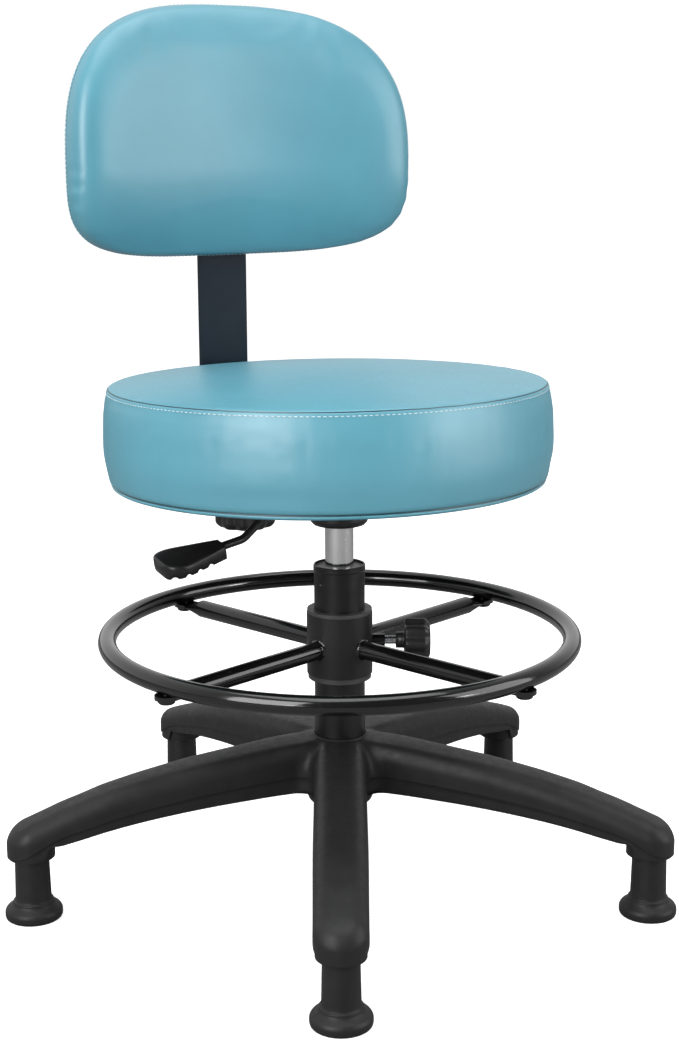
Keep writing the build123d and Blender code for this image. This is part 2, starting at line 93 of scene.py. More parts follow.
def capped(rows, columns):
    """Faces of a closed tube of rings, with a flat end at both of its rims."""
    last = (rows - 1) * columns
    return grid_faces(rows, columns) + [tuple(reversed(range(columns))),
                                        tuple(range(last, last + columns))]


def lathe(outline, segments=96):
    """Points and faces of a solid of revolution; outline runs from the bottom axis up."""
    verts, faces = [], []
    for r, z in outline:
        for j in range(segments):
            turn = 2 * math.pi * j / segments
            verts.append((r * math.cos(turn), r * math.sin(turn), z))
    faces = grid_faces(len(outline), segments)
    for ring, flip in ((0, True), (len(outline) - 1, False)):
        if outline[ring][0] > 0:
            loop = list(range(ring * segments, (ring + 1) * segments))
            faces.append(tuple(reversed(loop)) if flip else tuple(loop))
    return verts, faces


def lathe_open(outline, segments):
    """A turned surface with no end caps."""
    verts = [(r * math.cos(2 * math.pi * j / segments), r * math.sin(2 * math.pi * j / segments),
              z) for r, z in outline for j in range(segments)]
    return verts, grid_faces(len(outline), segments)


def merged(parts):
    """Joins several (verts, faces) pairs."""
    verts, faces = [], []
    for v, f in parts:
        base = len(verts)
        verts += v
        faces += [tuple(base + k for k in face) for face in f]
    return verts, faces


def moved(part, matrix):
    """Transforms the points of (verts, faces); the matrix works in millimetres."""
    verts, faces = part
    return [tuple(matrix @ Vector(v)) for v in verts], faces


def rounded(outline, radius, steps=5):
    """Rounds the inner corners of an open outline."""
    out = [outline[0]]
    for k in range(1, len(outline) - 1):
        p, q, n = (Vector(outline[k - 1]), Vector(outline[k]), Vector(outline[k + 1]))
        reach = min(radius, (p - q).length * 0.45, (n - q).length * 0.45)
        a, b = q + (p - q).normalized() * reach, q + (n - q).normalized() * reach
        for s in range(steps + 1):
            t = s / steps
            out.append(tuple(a * (1 - t) ** 2 + q * 2 * t * (1 - t) + b * t * t))
    out.append(outline[-1])
    return out


def capsule(start, end, radius):
    """A small rounded bar between two points, such as a stitch."""
    a, b = Vector(start), Vector(end)
    along = (b - a).normalized()
    side = along.orthogonal().normalized()
    other = along.cross(side)
    verts = []
    around, stations = 6, ((0, 0.35), (0.12, 0.85), (0.5, 1.0), (0.88, 0.85), (1, 0.35))
    for t, size in stations:
        for k in range(around):
            turn = 2 * math.pi * k / around
            offset = side * math.cos(turn) + other * math.sin(turn)
            verts.append(tuple(a.lerp(b, t) + offset * radius * size))
    return verts, capped(len(stations), around)


def smoothstep(x):
    x = min(1.0, max(0.0, x))
    return x * x * (3 - 2 * x)


def along_curve(points, x):
    """Height of a smooth curve through (x, y) points."""
    xs, ys = [p[0] for p in points], [p[1] for p in points]
    if x <= xs[0]:
        return ys[0]
    if x >= xs[-1]:
        return ys[-1]
    k = next(i for i in range(len(xs) - 1) if x <= xs[i + 1])
    slopes = [(ys[min(i + 1, len(xs) - 1)] - ys[max(i - 1, 0)])
              / (xs[min(i + 1, len(xs) - 1)] - xs[max(i - 1, 0)]) for i in (k, k + 1)]
    h = xs[k + 1] - xs[k]
    t = (x - xs[k]) / h
    return ((2 * t ** 3 - 3 * t ** 2 + 1) * ys[k] + (t ** 3 - 2 * t ** 2 + t) * h * slopes[0]
            + (-2 * t ** 3 + 3 * t ** 2) * ys[k + 1] + (t ** 3 - t ** 2) * h * slopes[1])


# ---- materials ----------------------------------------------------------------------
class Nodes:
    """A short way to build one material's node tree around its Principled shader."""

    def __init__(self, name):
        self.material = bpy.data.materials.new(name)
        self.material.use_nodes = True
        self.tree = self.material.node_tree
        self.shader = next(n for n in self.tree.nodes if n.type == "BSDF_PRINCIPLED")
        self.coords = self.add("ShaderNodeTexCoord").outputs["Object"]

    def add(self, kind, **values):
        node = self.tree.nodes.new(kind)
        for key, value in values.items():
            if hasattr(node, key):
                setattr(node, key, value)
            else:
                node.inputs[key.replace("_", " ").title()].default_value = value
        return node

    def link(self, a, b):
        self.tree.links.new(a, b)

    def noise(self, scale, detail=3.0, stretch=None):
        node = self.add("ShaderNodeTexNoise", scale=scale, detail=detail)
        source = self.coords
        if stretch:
            mapping = self.add("ShaderNodeMapping")
            mapping.inputs["Scale"].default_value = stretch
            self.link(source, mapping.inputs["Vector"])
            source = mapping.outputs["Vector"]
        self.link(source, node.inputs["Vector"])
        return node.outputs["Fac"]

    def cells(self, scale, feature="F1"):
        node = self.add("ShaderNodeTexVoronoi", scale=scale)
        node.feature = feature
        self.link(self.coords, node.inputs["Vector"])
        return node.outputs["Distance"]

    def ramp(self, source, low, high, start=0.3, end=0.7):
        """Maps a 0..1 value onto a colour or a grey between low and high."""
        node = self.add("ShaderNodeValToRGB")
        for stop, place, value in ((0, start, low), (1, end, high)):
            node.color_ramp.elements[stop].position = place
            colour = value if hasattr(value, "__len__") else (value,) * 3
            node.color_ramp.elements[stop].color = (*colour, 1)
        self.link(source, node.inputs["Fac"])
        return node.outputs["Color"]

    def colour(self, source, low, high, start=0.3, end=0.7):
        self.link(self.ramp(source, low, high, start, end), self.shader.inputs["Base Color"])

    def rough(self, source, low, high):
        self.link(self.ramp(source, low, high), self.shader.inputs["Roughness"])

    def bump(self, *layers):
        """Stacks (height, strength, distance in mm) layers into one normal."""
        normal = None
        for height, strength, depth in layers:
            node = self.add("ShaderNodeBump")
            node.inputs["Strength"].default_value = strength
            node.inputs["Distance"].default_value = depth * MM
            self.link(height, node.inputs["Height"])
            if normal:
                self.link(normal, node.inputs["Normal"])
            normal = node.outputs["Normal"]
        self.link(normal, self.shader.inputs["Normal"])

    def set(self, **values):
        for key, value in values.items():
            self.shader.inputs[key.replace("_", " ")].default_value = value
        return self.material


def scaled(colour, factor):
    return tuple(c * factor for c in colour)


def vinyl(name, colour, grain=1.0):
    """Smooth upholstery leatherette: fine pebbled grain, slight colour drift, soft sheen."""
    m = Nodes(name)
    m.colour(m.noise(14, 4), scaled(colour, 0.96), scaled(colour, 1.04))
    m.rough(m.noise(260, 3), 0.36, 0.43)
    m.bump((m.cells(1500, "SMOOTH_F1"), 0.10 * grain, 0.12),
           (m.noise(900, 2), 0.08 * grain, 0.1), (m.noise(22, 2), 0.12, 0.8))
    return m.set(Specular_IOR_Level=0.80)


def moulded(name, colour, roughness=(0.42, 0.55), grain=420, depth=0.06, specular=0.4):
    """Injection-moulded plastic with a spark-eroded texture."""
    m = Nodes(name)
    m.colour(m.noise(60, 5), scaled(colour, 0.86), scaled(colour, 1.14))
    m.rough(m.noise(150, 4), *roughness)
    m.bump((m.noise(grain * 3, 2), 0.35, depth), (m.cells(grain), 0.12, depth),
           (m.noise(18, 2), 0.10, 0.5))
    return m.set(Specular_IOR_Level=specular)


def paint(name, colour, roughness, peel=0.10, coat=0.0, specular=0.5):
    """Powder coat or stove enamel over steel: orange peel and faint rub marks."""
    m = Nodes(name)
    m.colour(m.noise(35, 4), scaled(colour, 0.88), scaled(colour, 1.12))
    m.rough(m.noise(90, 5), *roughness)
    m.bump((m.noise(330, 2), peel, 0.08), (m.noise(1400, 2), peel * 0.6, 0.02))
    return m.set(Specular_IOR_Level=specular, Coat_Weight=coat, Coat_Roughness=0.06)


def metal(name, colour, roughness, brush=None, strength=0.12):
    """Bare or plated steel; brush stretches the grain along an axis."""
    m = Nodes(name)
    grain = m.noise(900, 3, brush or (1, 1, 1))
    m.colour(m.noise(45, 4), scaled(colour, 0.93), scaled(colour, 1.05))
    m.rough(grain, *roughness)
    m.bump((grain, strength, 0.03))
    return m.set(Metallic=1.0)


def foam_material():
    m = Nodes("foam_cells")
    m.colour(m.noise(300, 3), (0.66, 0.6, 0.4), (0.8, 0.75, 0.55))
    m.bump((m.cells(700), 0.8, 0.6))
    return m.set(Roughness=0.9)


def plywood_material():
    m = Nodes("beech_plywood")
    m.colour(m.noise(30, 6, (1, 9, 60)), (0.42, 0.27, 0.14), (0.62, 0.44, 0.26))
    m.bump((m.noise(200, 4, (1, 12, 40)), 0.3, 0.15))
    return m.set(Roughness=0.62)


def cloth_material():
    """Black spun-bonded dust cloth."""
    m = Nodes("dust_cloth_web")
    m.colour(m.noise(700, 4), (0.012, 0.012, 0.013), (0.05, 0.05, 0.052))
    m.bump((m.noise(1300, 4), 0.7, 0.25), (m.cells(420), 0.35, 0.2))
    return m.set(Roughness=0.93, Sheen_Weight=0.25, Sheen_Roughness=0.6)


TEAL = (0.091, 0.306, 0.392)
MATERIALS = {
    "vinyl": vinyl("teal_vinyl", TEAL),
    # painted shade: the vinyl at 0.22 of its colour, drawn on the faces inside the seams' folds
    "vinyl_painted_seam_shade": vinyl("teal_vinyl_painted_seam_shade", scaled(TEAL, 0.22), 0.3),
    "nylon": moulded("glass_filled_nylon", (0.0150, 0.0150, 0.0156), specular=0.3),
    "column_paint": paint("column_powder_coat", (0.0075, 0.0075, 0.0078), (0.30, 0.38), 0.12,
                          specular=0.38),
    "ring_paint": paint("gloss_black_enamel", (0.0045, 0.0045, 0.0047), (0.10, 0.17), 0.10,
                        coat=0.4),
    "hub_paint": paint("satin_black_hub", (0.0105, 0.0105, 0.0108), (0.36, 0.46), 0.16,
                       specular=0.35),
    "mechanism_paint": paint("black_mechanism_paint", (0.010, 0.010, 0.0105), (0.28, 0.38),
                             0.14),
    "bar_paint": paint("navy_black_powder_coat", (0.0045, 0.0115, 0.0200), (0.34, 0.44), 0.14,
                       specular=0.15),
    "chrome_rod": metal("chrome_plate", (0.76, 0.76, 0.765), (0.10, 0.17), (1, 1, 0.02), 0.06),
    "steel": metal("bright_steel", (0.55, 0.55, 0.56), (0.22, 0.34), (1, 1, 0.05)),
    "zinc": metal("zinc_plate", (0.62, 0.63, 0.66), (0.18, 0.34)),
    "bush_plastic": moulded("bush_acetal", (0.055, 0.055, 0.057), (0.38, 0.5), 300, 0.05),
    "guide_plastic": moulded("guide_acetal", (0.42, 0.42, 0.42), (0.3, 0.5), 120, 0.3),
    "knob_plastic": moulded("knob_nylon", (0.017, 0.017, 0.0175), (0.30, 0.42), 500, 0.04),
    "paddle_plastic": moulded("paddle_plastic", (0.008, 0.008, 0.0083), (0.3, 0.42), 500, 0.03),
    "shell_plastic": moulded("back_shell_plastic", (0.010, 0.011, 0.013), (0.42, 0.55)),
    "rubber": moulded("black_rubber", (0.012, 0.012, 0.012), (0.6, 0.75), 300, 0.05, 0.3),
    "brass": metal("brass", (0.62, 0.45, 0.2), (0.2, 0.32)),
    "plywood": plywood_material(),
    "foam": foam_material(),
    "dust_cloth": cloth_material(),
    "thread": moulded("white_thread", (0.62, 0.72, 0.75), (0.45, 0.6), 2500, 0.1),
}


def paint_piece(piece, *names):
    """Gives a new piece its materials, the first one everywhere unless faces say otherwise."""
    for name in names:
        piece.data.materials.append(MATERIALS[name])


def finish_piece(piece, body, slot, *replaced):
    """Says which body a piece rides on and hides the CAD nodes it stands in for; slot is not used.
    """
    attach(piece, body)
    if replaced:
        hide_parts(*replaced)


# the pieces that keep their CAD shape take the material of their slot
for part in frame["record"]["subparts"]:
    node = frame["nodes"][part["node"]]
    node.data.materials.clear()
    node.data.materials.append(MATERIALS[part["material_slot"]])
    for polygon in node.data.polygons:
        polygon.material_index = 0


# ---- cloth --------------------------------------------------------------------------
def cloth_field(source, is_held, voxel, pressure, cap):
    """Blows the cover up by cloth simulation and returns how each of its points moved."""
    shape = source.copy()
    shape.data = source.data.copy()
    shape.name = "cloth_form"
    bpy.context.scene.collection.objects.link(shape)
    remesh = shape.modifiers.new("remesh", "REMESH")
    remesh.mode = "VOXEL"
    remesh.voxel_size = voxel * MM
    bpy.context.view_layer.update()
    graph = bpy.context.evaluated_depsgraph_get()
    mesh = bpy.data.meshes.new_from_object(shape.evaluated_get(graph))
    shape.modifiers.clear()
    shape.data = mesh
    held = shape.vertex_groups.new(name="held")
    for vertex in mesh.vertices:
        weight = is_held(vertex.co / MM)
        if weight > 0:
            held.add([vertex.index], weight, "REPLACE")
    cloth = shape.modifiers.new("cloth", "CLOTH")
    cloth.settings.quality = 6
    cloth.settings.mass = 0.35
    cloth.settings.tension_stiffness = 25
    cloth.settings.compression_stiffness = 22
    cloth.settings.shear_stiffness = 12
    cloth.settings.bending_stiffness = 2.5
    cloth.settings.vertex_group_mass = "held"
    cloth.settings.use_pressure = True
    cloth.settings.uniform_pressure_force = pressure
    cloth.settings.effector_weights.gravity = 0
    scene = bpy.context.scene
    for step in range(1, 21):
        scene.frame_set(step)
    graph = bpy.context.evaluated_depsgraph_get()
    result = shape.evaluated_get(graph).to_mesh()
    before = np.array([v.co for v in mesh.vertices]) / MM
    after = np.array([v.co for v in result.vertices]) / MM
    scene.frame_set(1)
    bpy.data.objects.remove(shape)
    shift = after - before
    length = np.linalg.norm(shift, axis=1, keepdims=True)
    return before, shift * np.minimum(1.0, cap / np.maximum(length, 1e-6))


def carry(points, field, near=8):
    """Moves points by the simulated field around them."""
    before, shift = field
    tree = KDTree(len(before))
    for index, point in enumerate(before):
        tree.insert(point, index)
    tree.balance()
    out = []
    for point in points:
        total, move = 0.0, np.zeros(3)
        for _, index, distance in tree.find_n(point, near):
            weight = 1 / (distance * distance + 4.0)
            total += weight
            move += weight * shift[index]
        out.append(move / total)
    return np.array(out)


# ---- seat cushion -------------------------------------------------------------------
SEAM_R, SEAM_Z, CROWN_Z, BULGE_R = 213.0, 93.5, 106.5, 221.0
HEM_R, HEM_Z = 212.0, 3.6
SIDE_R, CROWN_SWELL, MAX_GAIN = 217.2, 2.2, 40
SEAT_SIDE = [(HEM_Z + 2.5, 213.4), (20, 216.4), (48, SIDE_R), (76, 215.4),
             (SEAM_Z - 3.2, 213.6)]
SEAT_COLUMNS = 540


def seat_rows(coarse=False):
    """The cushion's section from under the hem to the crown: (radius, height, in a fold, where
    shade is painted).
    """
    rows = [(150, 1.2, 0), (196, 0.4, 0), (204, -0.8, 0), (209.6, -0.7, 0), (211.4, 0.5, 0),
            (HEM_R, HEM_Z - 1.6, 0), (HEM_R - 0.5, HEM_Z - 0.8, 1), (HEM_R - 2.3, HEM_Z, 1),
            (HEM_R - 0.2, HEM_Z + 0.8, 1), (HEM_R + 0.6, HEM_Z + 1.6, 0)]
    heights = np.linspace(HEM_Z + 2.6, SEAM_Z - 3.2, 24)
    rows += [(along_curve([(z, r) for z, r in SEAT_SIDE], z), z, 0) for z in heights]
    rows += [(SEAM_R + 0.4, SEAM_Z - 1.8, 0), (SEAM_R + 0.1, SEAM_Z - 0.9, 0),
             (SEAM_R - 0.5, SEAM_Z - 0.35, 1), (SEAM_R - 2.2, SEAM_Z - 0.5, 1),
             (SEAM_R - 1.4, SEAM_Z + 0.55, 1), (SEAM_R - 2.2, SEAM_Z + 1.0, 0),
             (SEAM_R - 3.6, SEAM_Z + 1.6, 0)]
    crown = [(0, CROWN_Z - 2.5), (70, CROWN_Z - 3.0), (130, CROWN_Z - 4.8),
             (180, CROWN_Z - 8.0), (SEAM_R - 4, SEAM_Z + 1.75)]
    radii = [206, 202, 197, 190, 180, 168, 154, 138, 120, 100, 80, 60, 40, 20, 6]
    rows += [(r, along_curve(crown, r), 0) for r in radii]
    return [row for row in rows if not coarse or not row[2]]


def seat_cushion():
    """The padded seat with its sewn cover; returns the cover's points, row by row."""
    rows = seat_rows()
    coarse = [(r, z) for r, z, _ in seat_rows(coarse=True)]
    count = SEAT_COLUMNS
    verts, faces = lathe([(r, z) for r, z, _ in rows], count)
    points = np.array(verts)
    source = new_object("seat_form", *lathe(coarse, 160))
    seams = ((SEAM_R, SEAM_Z), (HEM_R, HEM_Z))

    def is_held(p):
        reach = math.hypot(p.x, p.y)
        if p.z < 3:
            return 1.0
        return 1.0 if min(math.hypot(reach - r, p.z - z) for r, z in seams) < 4.5 else 0.0

    field = cloth_field(source, is_held, 5.0, 4.0, 9.0)
    bpy.data.objects.remove(source)
    move = carry(points, field)
    reach = np.hypot(points[:, 0], points[:, 1])
    side = (np.abs(points[:, 2] - 48) < 12) & (reach > 208)
    top = (reach < 120) & (points[:, 2] > 90)
    outward = (move[:, :2] * points[:, :2]).sum(1) / np.maximum(reach, 1)
    # The simulation moves the side by only about 0.02 mm. Scaled up by the most that is
    # allowed it adds 0.9 mm to the drawn side, which stays 3 mm inside the CAD's bulge.
    gain_side = min((BULGE_R - SIDE_R) / max(outward[side].mean(), 0.05), MAX_GAIN)
    gain_top = min(CROWN_SWELL / max(move[top, 2].mean(), 0.05), MAX_GAIN)
    mix = np.clip((points[:, 2] - 88) / 8, 0, 1)[:, None]
    points += move * (gain_side * (1 - mix) + gain_top * mix)
    # small pulls where the cover is stitched and gathered
    turn = np.arctan2(points[:, 1], points[:, 0])
    under = np.clip((8 - points[:, 2]) / 8, 0, 1) * (np.hypot(points[:, 0], points[:, 1]) < 207)
    points[:, 2] += under * 0.45 * (np.sin(turn * 96) + 0.5 * np.sin(turn * 61 + 1.3))
    piece = new_object("seat_cushion", [tuple(p) for p in points], faces, SEAT_PLACE)
    paint_piece(piece, "vinyl", "vinyl_painted_seam_shade")
    # faces between two rows in the seam's fold take the painted seam shade
    painted_shade_rows = {i for i, row in enumerate(rows) if row[2]}
    for polygon in piece.data.polygons:
        row = polygon.vertices[0] // count
        if len(polygon.vertices) == 4 and row in painted_shade_rows and row + 1 in painted_shade_rows:
            polygon.material_index = 1
    finish_piece(piece, "seat", "vinyl", "seat_cover", "seat_foam")
    return points.reshape(len(rows), count, 3)


def seat_topstitch(surface):
    """White thread below the top seam, every stitch sunk at both ends."""
    pitch = 2
    row = next(i for i in range(len(surface)) if surface[i, 0, 2] > SEAM_Z - 6.2)
    parts = []
    for j in range(0, SEAT_COLUMNS, pitch):
        a, b = surface[row, j], surface[row, (j + pitch) % SEAT_COLUMNS]
        out = Vector((a[0], a[1], 0)).normalized() * 0.15
        start, end = Vector(a).lerp(Vector(b), 0.18) + out, Vector(a).lerp(Vector(b), 0.82) + out
        parts.append(capsule(start, end, 0.42))
    piece = new_object("seat_topstitch", *merged(parts), SEAT_PLACE)
    paint_piece(piece, "thread")
    finish_piece(piece, "seat", "vinyl")


def seat_underside():
    """Dust cloth, drawn tight between staples, sagging a little elsewhere."""
    staples, rings = 36, 26
    verts = []
    columns = staples * 8
    for i in range(rings):
        share = i / (rings - 1)
        for j in range(columns):
            turn = 2 * math.pi * j / columns
            pull = 1 - abs(math.sin(turn * staples / 2))
            edge = 194.5 + 1.2 * pull
            radius = 20 + (edge - 20) * share
            sag = 1.6 * math.sin(math.pi * share) * (0.8 + 0.2 * math.sin(3 * turn + share * 5))
            pucker = 0.35 * pull * smoothstep((share - 0.75) * 4)
            verts.append((radius * math.cos(turn), radius * math.sin(turn), 0.6 - sag + pucker))
    piece = new_object("dust_cloth", verts, grid_faces(rings, columns), SEAT_PLACE)
    solid = piece.modifiers.new("thickness", "SOLIDIFY")
    solid.thickness = 0.4 * MM
    paint_piece(piece, "dust_cloth")
    finish_piece(piece, "seat", "dust_cloth", "seat_dust_cover")
    parts = []
    for k in range(staples):
        turn = 2 * math.pi * (k + 0.5) / staples
        middle = Vector((191 * math.cos(turn), 191 * math.sin(turn), 0.25))
        along = Vector((-math.sin(turn), math.cos(turn), 0)) * 5
        parts.append(capsule(middle - along, middle + along, 0.55))
    staple = new_object("seat_staples", *merged(parts), SEAT_PLACE)
    paint_piece(staple, "zinc")
    finish_piece(staple, "seat", "zinc")


# ---- backrest cushion ---------------------------------------------------------------
shell_low, shell_high = (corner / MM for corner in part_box("back_cover"))
BACK_HALF = (shell_high.x - shell_low.x) / 2
BACK_WAIST = 704.0
BACK_TOP, BACK_BOTTOM = shell_high.z, shell_low.z
BACK_CURVE, BACK_REAR, BACK_DEPTH, SHEET = 533.0, 250.5, 52.5, 4.0
UPPER_CURVE, LOWER_CURVE = 2.8, 3.8   # superellipse exponents of the outline
ROUNDING = 33.0                       # depth over which the side turns into the front
BACK_COLUMNS = 720


def back_edge(turn, inset=0.0):
    """A point on the D-shaped outline, seen from the front."""
    top = math.sin(turn) >= 0
    reach = (BACK_TOP - BACK_WAIST if top else BACK_WAIST - BACK_BOTTOM) - inset
    power = 2 / (UPPER_CURVE if top else LOWER_CURVE)
    x = (BACK_HALF - inset) * abs(math.cos(turn)) ** power * math.copysign(1, math.cos(turn))
    z = reach * abs(math.sin(turn)) ** power * math.copysign(1, math.sin(turn))
    return x, z


def back_turns():
    """Angles that spread the outline's points evenly along it."""
    fine = np.linspace(0, 2 * math.pi, 20001)
    line = np.array([back_edge(t) for t in fine])
    length = np.concatenate([[0], np.cumsum(np.linalg.norm(np.diff(line, axis=0), axis=1))])
    return np.interp(np.arange(BACK_COLUMNS) / BACK_COLUMNS * length[-1], length, fine)


def back_point(x, z, depth):
    """A point at that depth in front of the shell's rear surface."""
    radius = BACK_CURVE - depth
    return (x, BACK_REAR - BACK_CURVE + math.sqrt(radius * radius - x * x), BACK_WAIST + z)


def back_roll(z):
    """Share of the padding's depth lost towards the lower and the upper edge."""
    if z < 0:
        return 0.68 * (-z / (BACK_WAIST - BACK_BOTTOM)) ** 1.8
    return 0.22 * (z / (BACK_TOP - BACK_WAIST)) ** 2.4


# rings from the side to the centre; the outer ones are spread by angle, down to a size
BACK_RINGS, RIM_RINGS, RIM_SIZE = 46, 26, 0.8


def back_rows(turn):
    """One column of the cushion, from the hem at the shell to the centre of its face."""
    x, z = back_edge(turn)
    high = smoothstep(z / (BACK_TOP - BACK_WAIST))
    low = smoothstep(-z / (BACK_WAIST - BACK_BOTTOM))
    sharp = 9.0 - 4.0 * high - 2.5 * low
    column = []
    # rows flagged 1 lie in the hem's fold and are drawn in the painted seam shade
    for depth, inset, fold in ((SHEET, 6, 0), (SHEET, 2.5, 0), (SHEET + 0.5, 0.6, 0),
                               (SHEET + 1.6, 0.0, 0), (SHEET + 3.0, 0.15, 0),
                               (SHEET + 3.6, 0.6, 1), (SHEET + 4.1, 1.9, 1),
                               (SHEET + 4.6, 0.6, 1), (SHEET + 5.4, 0.1, 0)):
        ex, ez = back_edge(turn, inset)
        column.append((*back_point(ex, ez, depth), fold))
    wall_top = BACK_DEPTH - ROUNDING
    for share in (0.33, 0.66):
        depth = (SHEET + 5.4) * (1 - share) + wall_top * share
        column.append((*back_point(x, z, depth), 0))
    rim = math.asin(RIM_SIZE ** (sharp / 2))
    for k in range(BACK_RINGS):
        if k < RIM_RINGS:
            angle = math.pi / 2 + (rim - math.pi / 2) * k / (RIM_RINGS - 1)
            size = math.sin(angle) ** (2 / sharp)
        else:
            size = RIM_SIZE * (1 - (k - RIM_RINGS + 1) / (BACK_RINGS - RIM_RINGS + 0.3))
            angle = math.asin(size ** (sharp / 2))
        rise = math.cos(angle) ** 0.92
        depth = wall_top + ROUNDING * rise * (1 - back_roll(z * size))
        column.append((*back_point(x * size, z * size, depth), 0))
    return column


def back_cushion():
    """The padded backrest with its sewn cover; returns the cover's points, row by row."""
    columns = [back_rows(t) for t in back_turns()]
    rows = len(columns[0])
    points = np.array([[columns[j][i][:3] for j in range(BACK_COLUMNS)] for i in range(rows)])
    painted_shade_rows = [columns[0][i][3] for i in range(rows)]
    flat = points.reshape(-1, 3)
    faces = capped(rows, BACK_COLUMNS)
    source = new_object("back_form", [tuple(p) for p in flat], faces)
    rear = BACK_REAR - BACK_CURVE

    def is_held(p):
        depth = BACK_CURVE - math.hypot(p.x, p.y - rear)
        return 1.0 if depth < SHEET + 6.5 else 0.0

    field = cloth_field(source, is_held, 5.0, 4.0, 7.0)
    bpy.data.objects.remove(source)
    move = carry(flat, field, near=28)
    reach = np.linalg.norm(move, axis=1).max()
    # the swell is scaled down and limited forward, so the front stays near the CAD's
    move = move * min(1.0, 2.6 / max(reach, 0.1))
    move[:, 1] = np.maximum(move[:, 1], -1.5)
    flat = flat + move
    points = flat.reshape(rows, BACK_COLUMNS, 3)
    # the cover is drawn round the sharp lower corners and creases a little there, on the
    # rows between the hem and the front's edge
    for i in range(9, 26):
        fade = math.sin(math.pi * (i - 8) / 18)
        for j in range(BACK_COLUMNS):
            x, z = points[i, j, 0], points[i, j, 2] - BACK_WAIST
            corner = smoothstep((abs(x) - 120) / 50) * smoothstep((30 - z) / 60)
            wave = math.sin(j * 0.52 + 0.8 * math.sin(j * 0.11)) * 0.5
            points[i, j] += np.array((-math.copysign(1, x) * 0.7, 0, 0)) * corner * fade * wave
    piece = new_object("back_cushion", [tuple(p) for p in points.reshape(-1, 3)], faces)
    paint_piece(piece, "vinyl", "vinyl_painted_seam_shade")
    # faces between two rows in the hem's fold take the painted seam shade
    for polygon in piece.data.polygons:
        row = polygon.vertices[0] // BACK_COLUMNS
        if len(polygon.vertices) == 4 and row + 1 < rows and painted_shade_rows[row] and painted_shade_rows[row + 1]:
            polygon.material_index = 1
    finish_piece(piece, "backrest", "vinyl", "back_cover", "back_foam")
    return points


def back_topstitch(surface):
    """Thread just in front of the hem, on the cushion's side."""
    parts = []
    pitch, row = 3, 4
    for j in range(0, BACK_COLUMNS, pitch):
        a, b = Vector(surface[row, j]), Vector(surface[row, (j + pitch) % BACK_COLUMNS])
        centre = Vector((0, a.y, BACK_WAIST))
        out = (a - centre).normalized() * 0.2
        parts.append(capsule(a.lerp(b, 0.2) + out, a.lerp(b, 0.8) + out, 0.42))
    piece = new_object("back_topstitch", *merged(parts))
    paint_piece(piece, "thread")
    finish_piece(piece, "backrest", "vinyl")


# ---- star base ----------------------------------------------------------------------
LEG_HALF, CUP_R, CUP_LOW = 25.0, 24.1, 61.4
# heights along an arm: its spine, its lower outside edge and the foot of its skirt
SPINE = [(20, 151.5), (60, 149.6), (100, 145.0), (150, 138.8), (193, 131.6), (218, 126.4),
         (241, 121), (260, 115), (280, 109.0), (297, 102.8), (314, 96.5), (326, 91.0), (336, 84.5)]
EDGE_LINE = [(40, 119), (95, 115.5), (151, 110), (187, 105.5), (222, 99.8), (259, 91.6),
             (294, 82), (308, 75.0), (322, 67.0), (334, 62.4)]
SKIRT_LOW = [(40, 101), (70, 100.8), (100, 99.6), (144, 97), (182, 93.6), (215, 89.6),
             (243, 85), (267, 80), (287, 76.2)]
STEP_IN = 1.7


def leg_path():
    """Stations round one arm: (inner point, outer point, shoulder radius, outward)."""
    bore, half_step = 25.2, LEG_STEP / 2
    stations = []
    fillet = 16.0
    reach = (LEG_HALF + fillet) / math.sin(half_step)
    centre = Vector((reach * math.cos(half_step), reach * math.sin(half_step)))
    side_start = centre.x
    for k in range(13):                       # the valley, from the bisector to the arm
        share = k / 12
        turn = half_step + math.pi + (math.pi / 2 - half_step) * share
        outer = centre + Vector((math.cos(turn), math.sin(turn))) * fillet
        inward = half_step * (1 - share)
        inner = Vector((math.cos(inward), math.sin(inward))) * bore
        outward = -Vector((math.cos(turn), math.sin(turn)))
        stations.append((inner, outer, 28.0 - 12.0 * smoothstep(share), outward))
    for x in np.linspace(side_start, STEM_CIRCLE, 58)[1:]:
        width = LEG_HALF + (CUP_R - LEG_HALF) * smoothstep((x - 200) / 111)
        start = bore + (x - side_start) * (STEM_CIRCLE - bore) / (STEM_CIRCLE - side_start)
        stations.append((Vector((start, 0)), Vector((x, width)), 16.0, Vector((0, 1))))
    for k in range(1, 17):
        turn = math.pi / 2 * (1 - k / 16)
        outward = Vector((math.cos(turn), math.sin(turn)))
        tip = Vector((STEM_CIRCLE, 0))
        stations.append((tip, tip + outward * (CUP_R - 0.8 * outward.x), 16.0 - 7.0 * outward.x,
                         outward))
    return stations


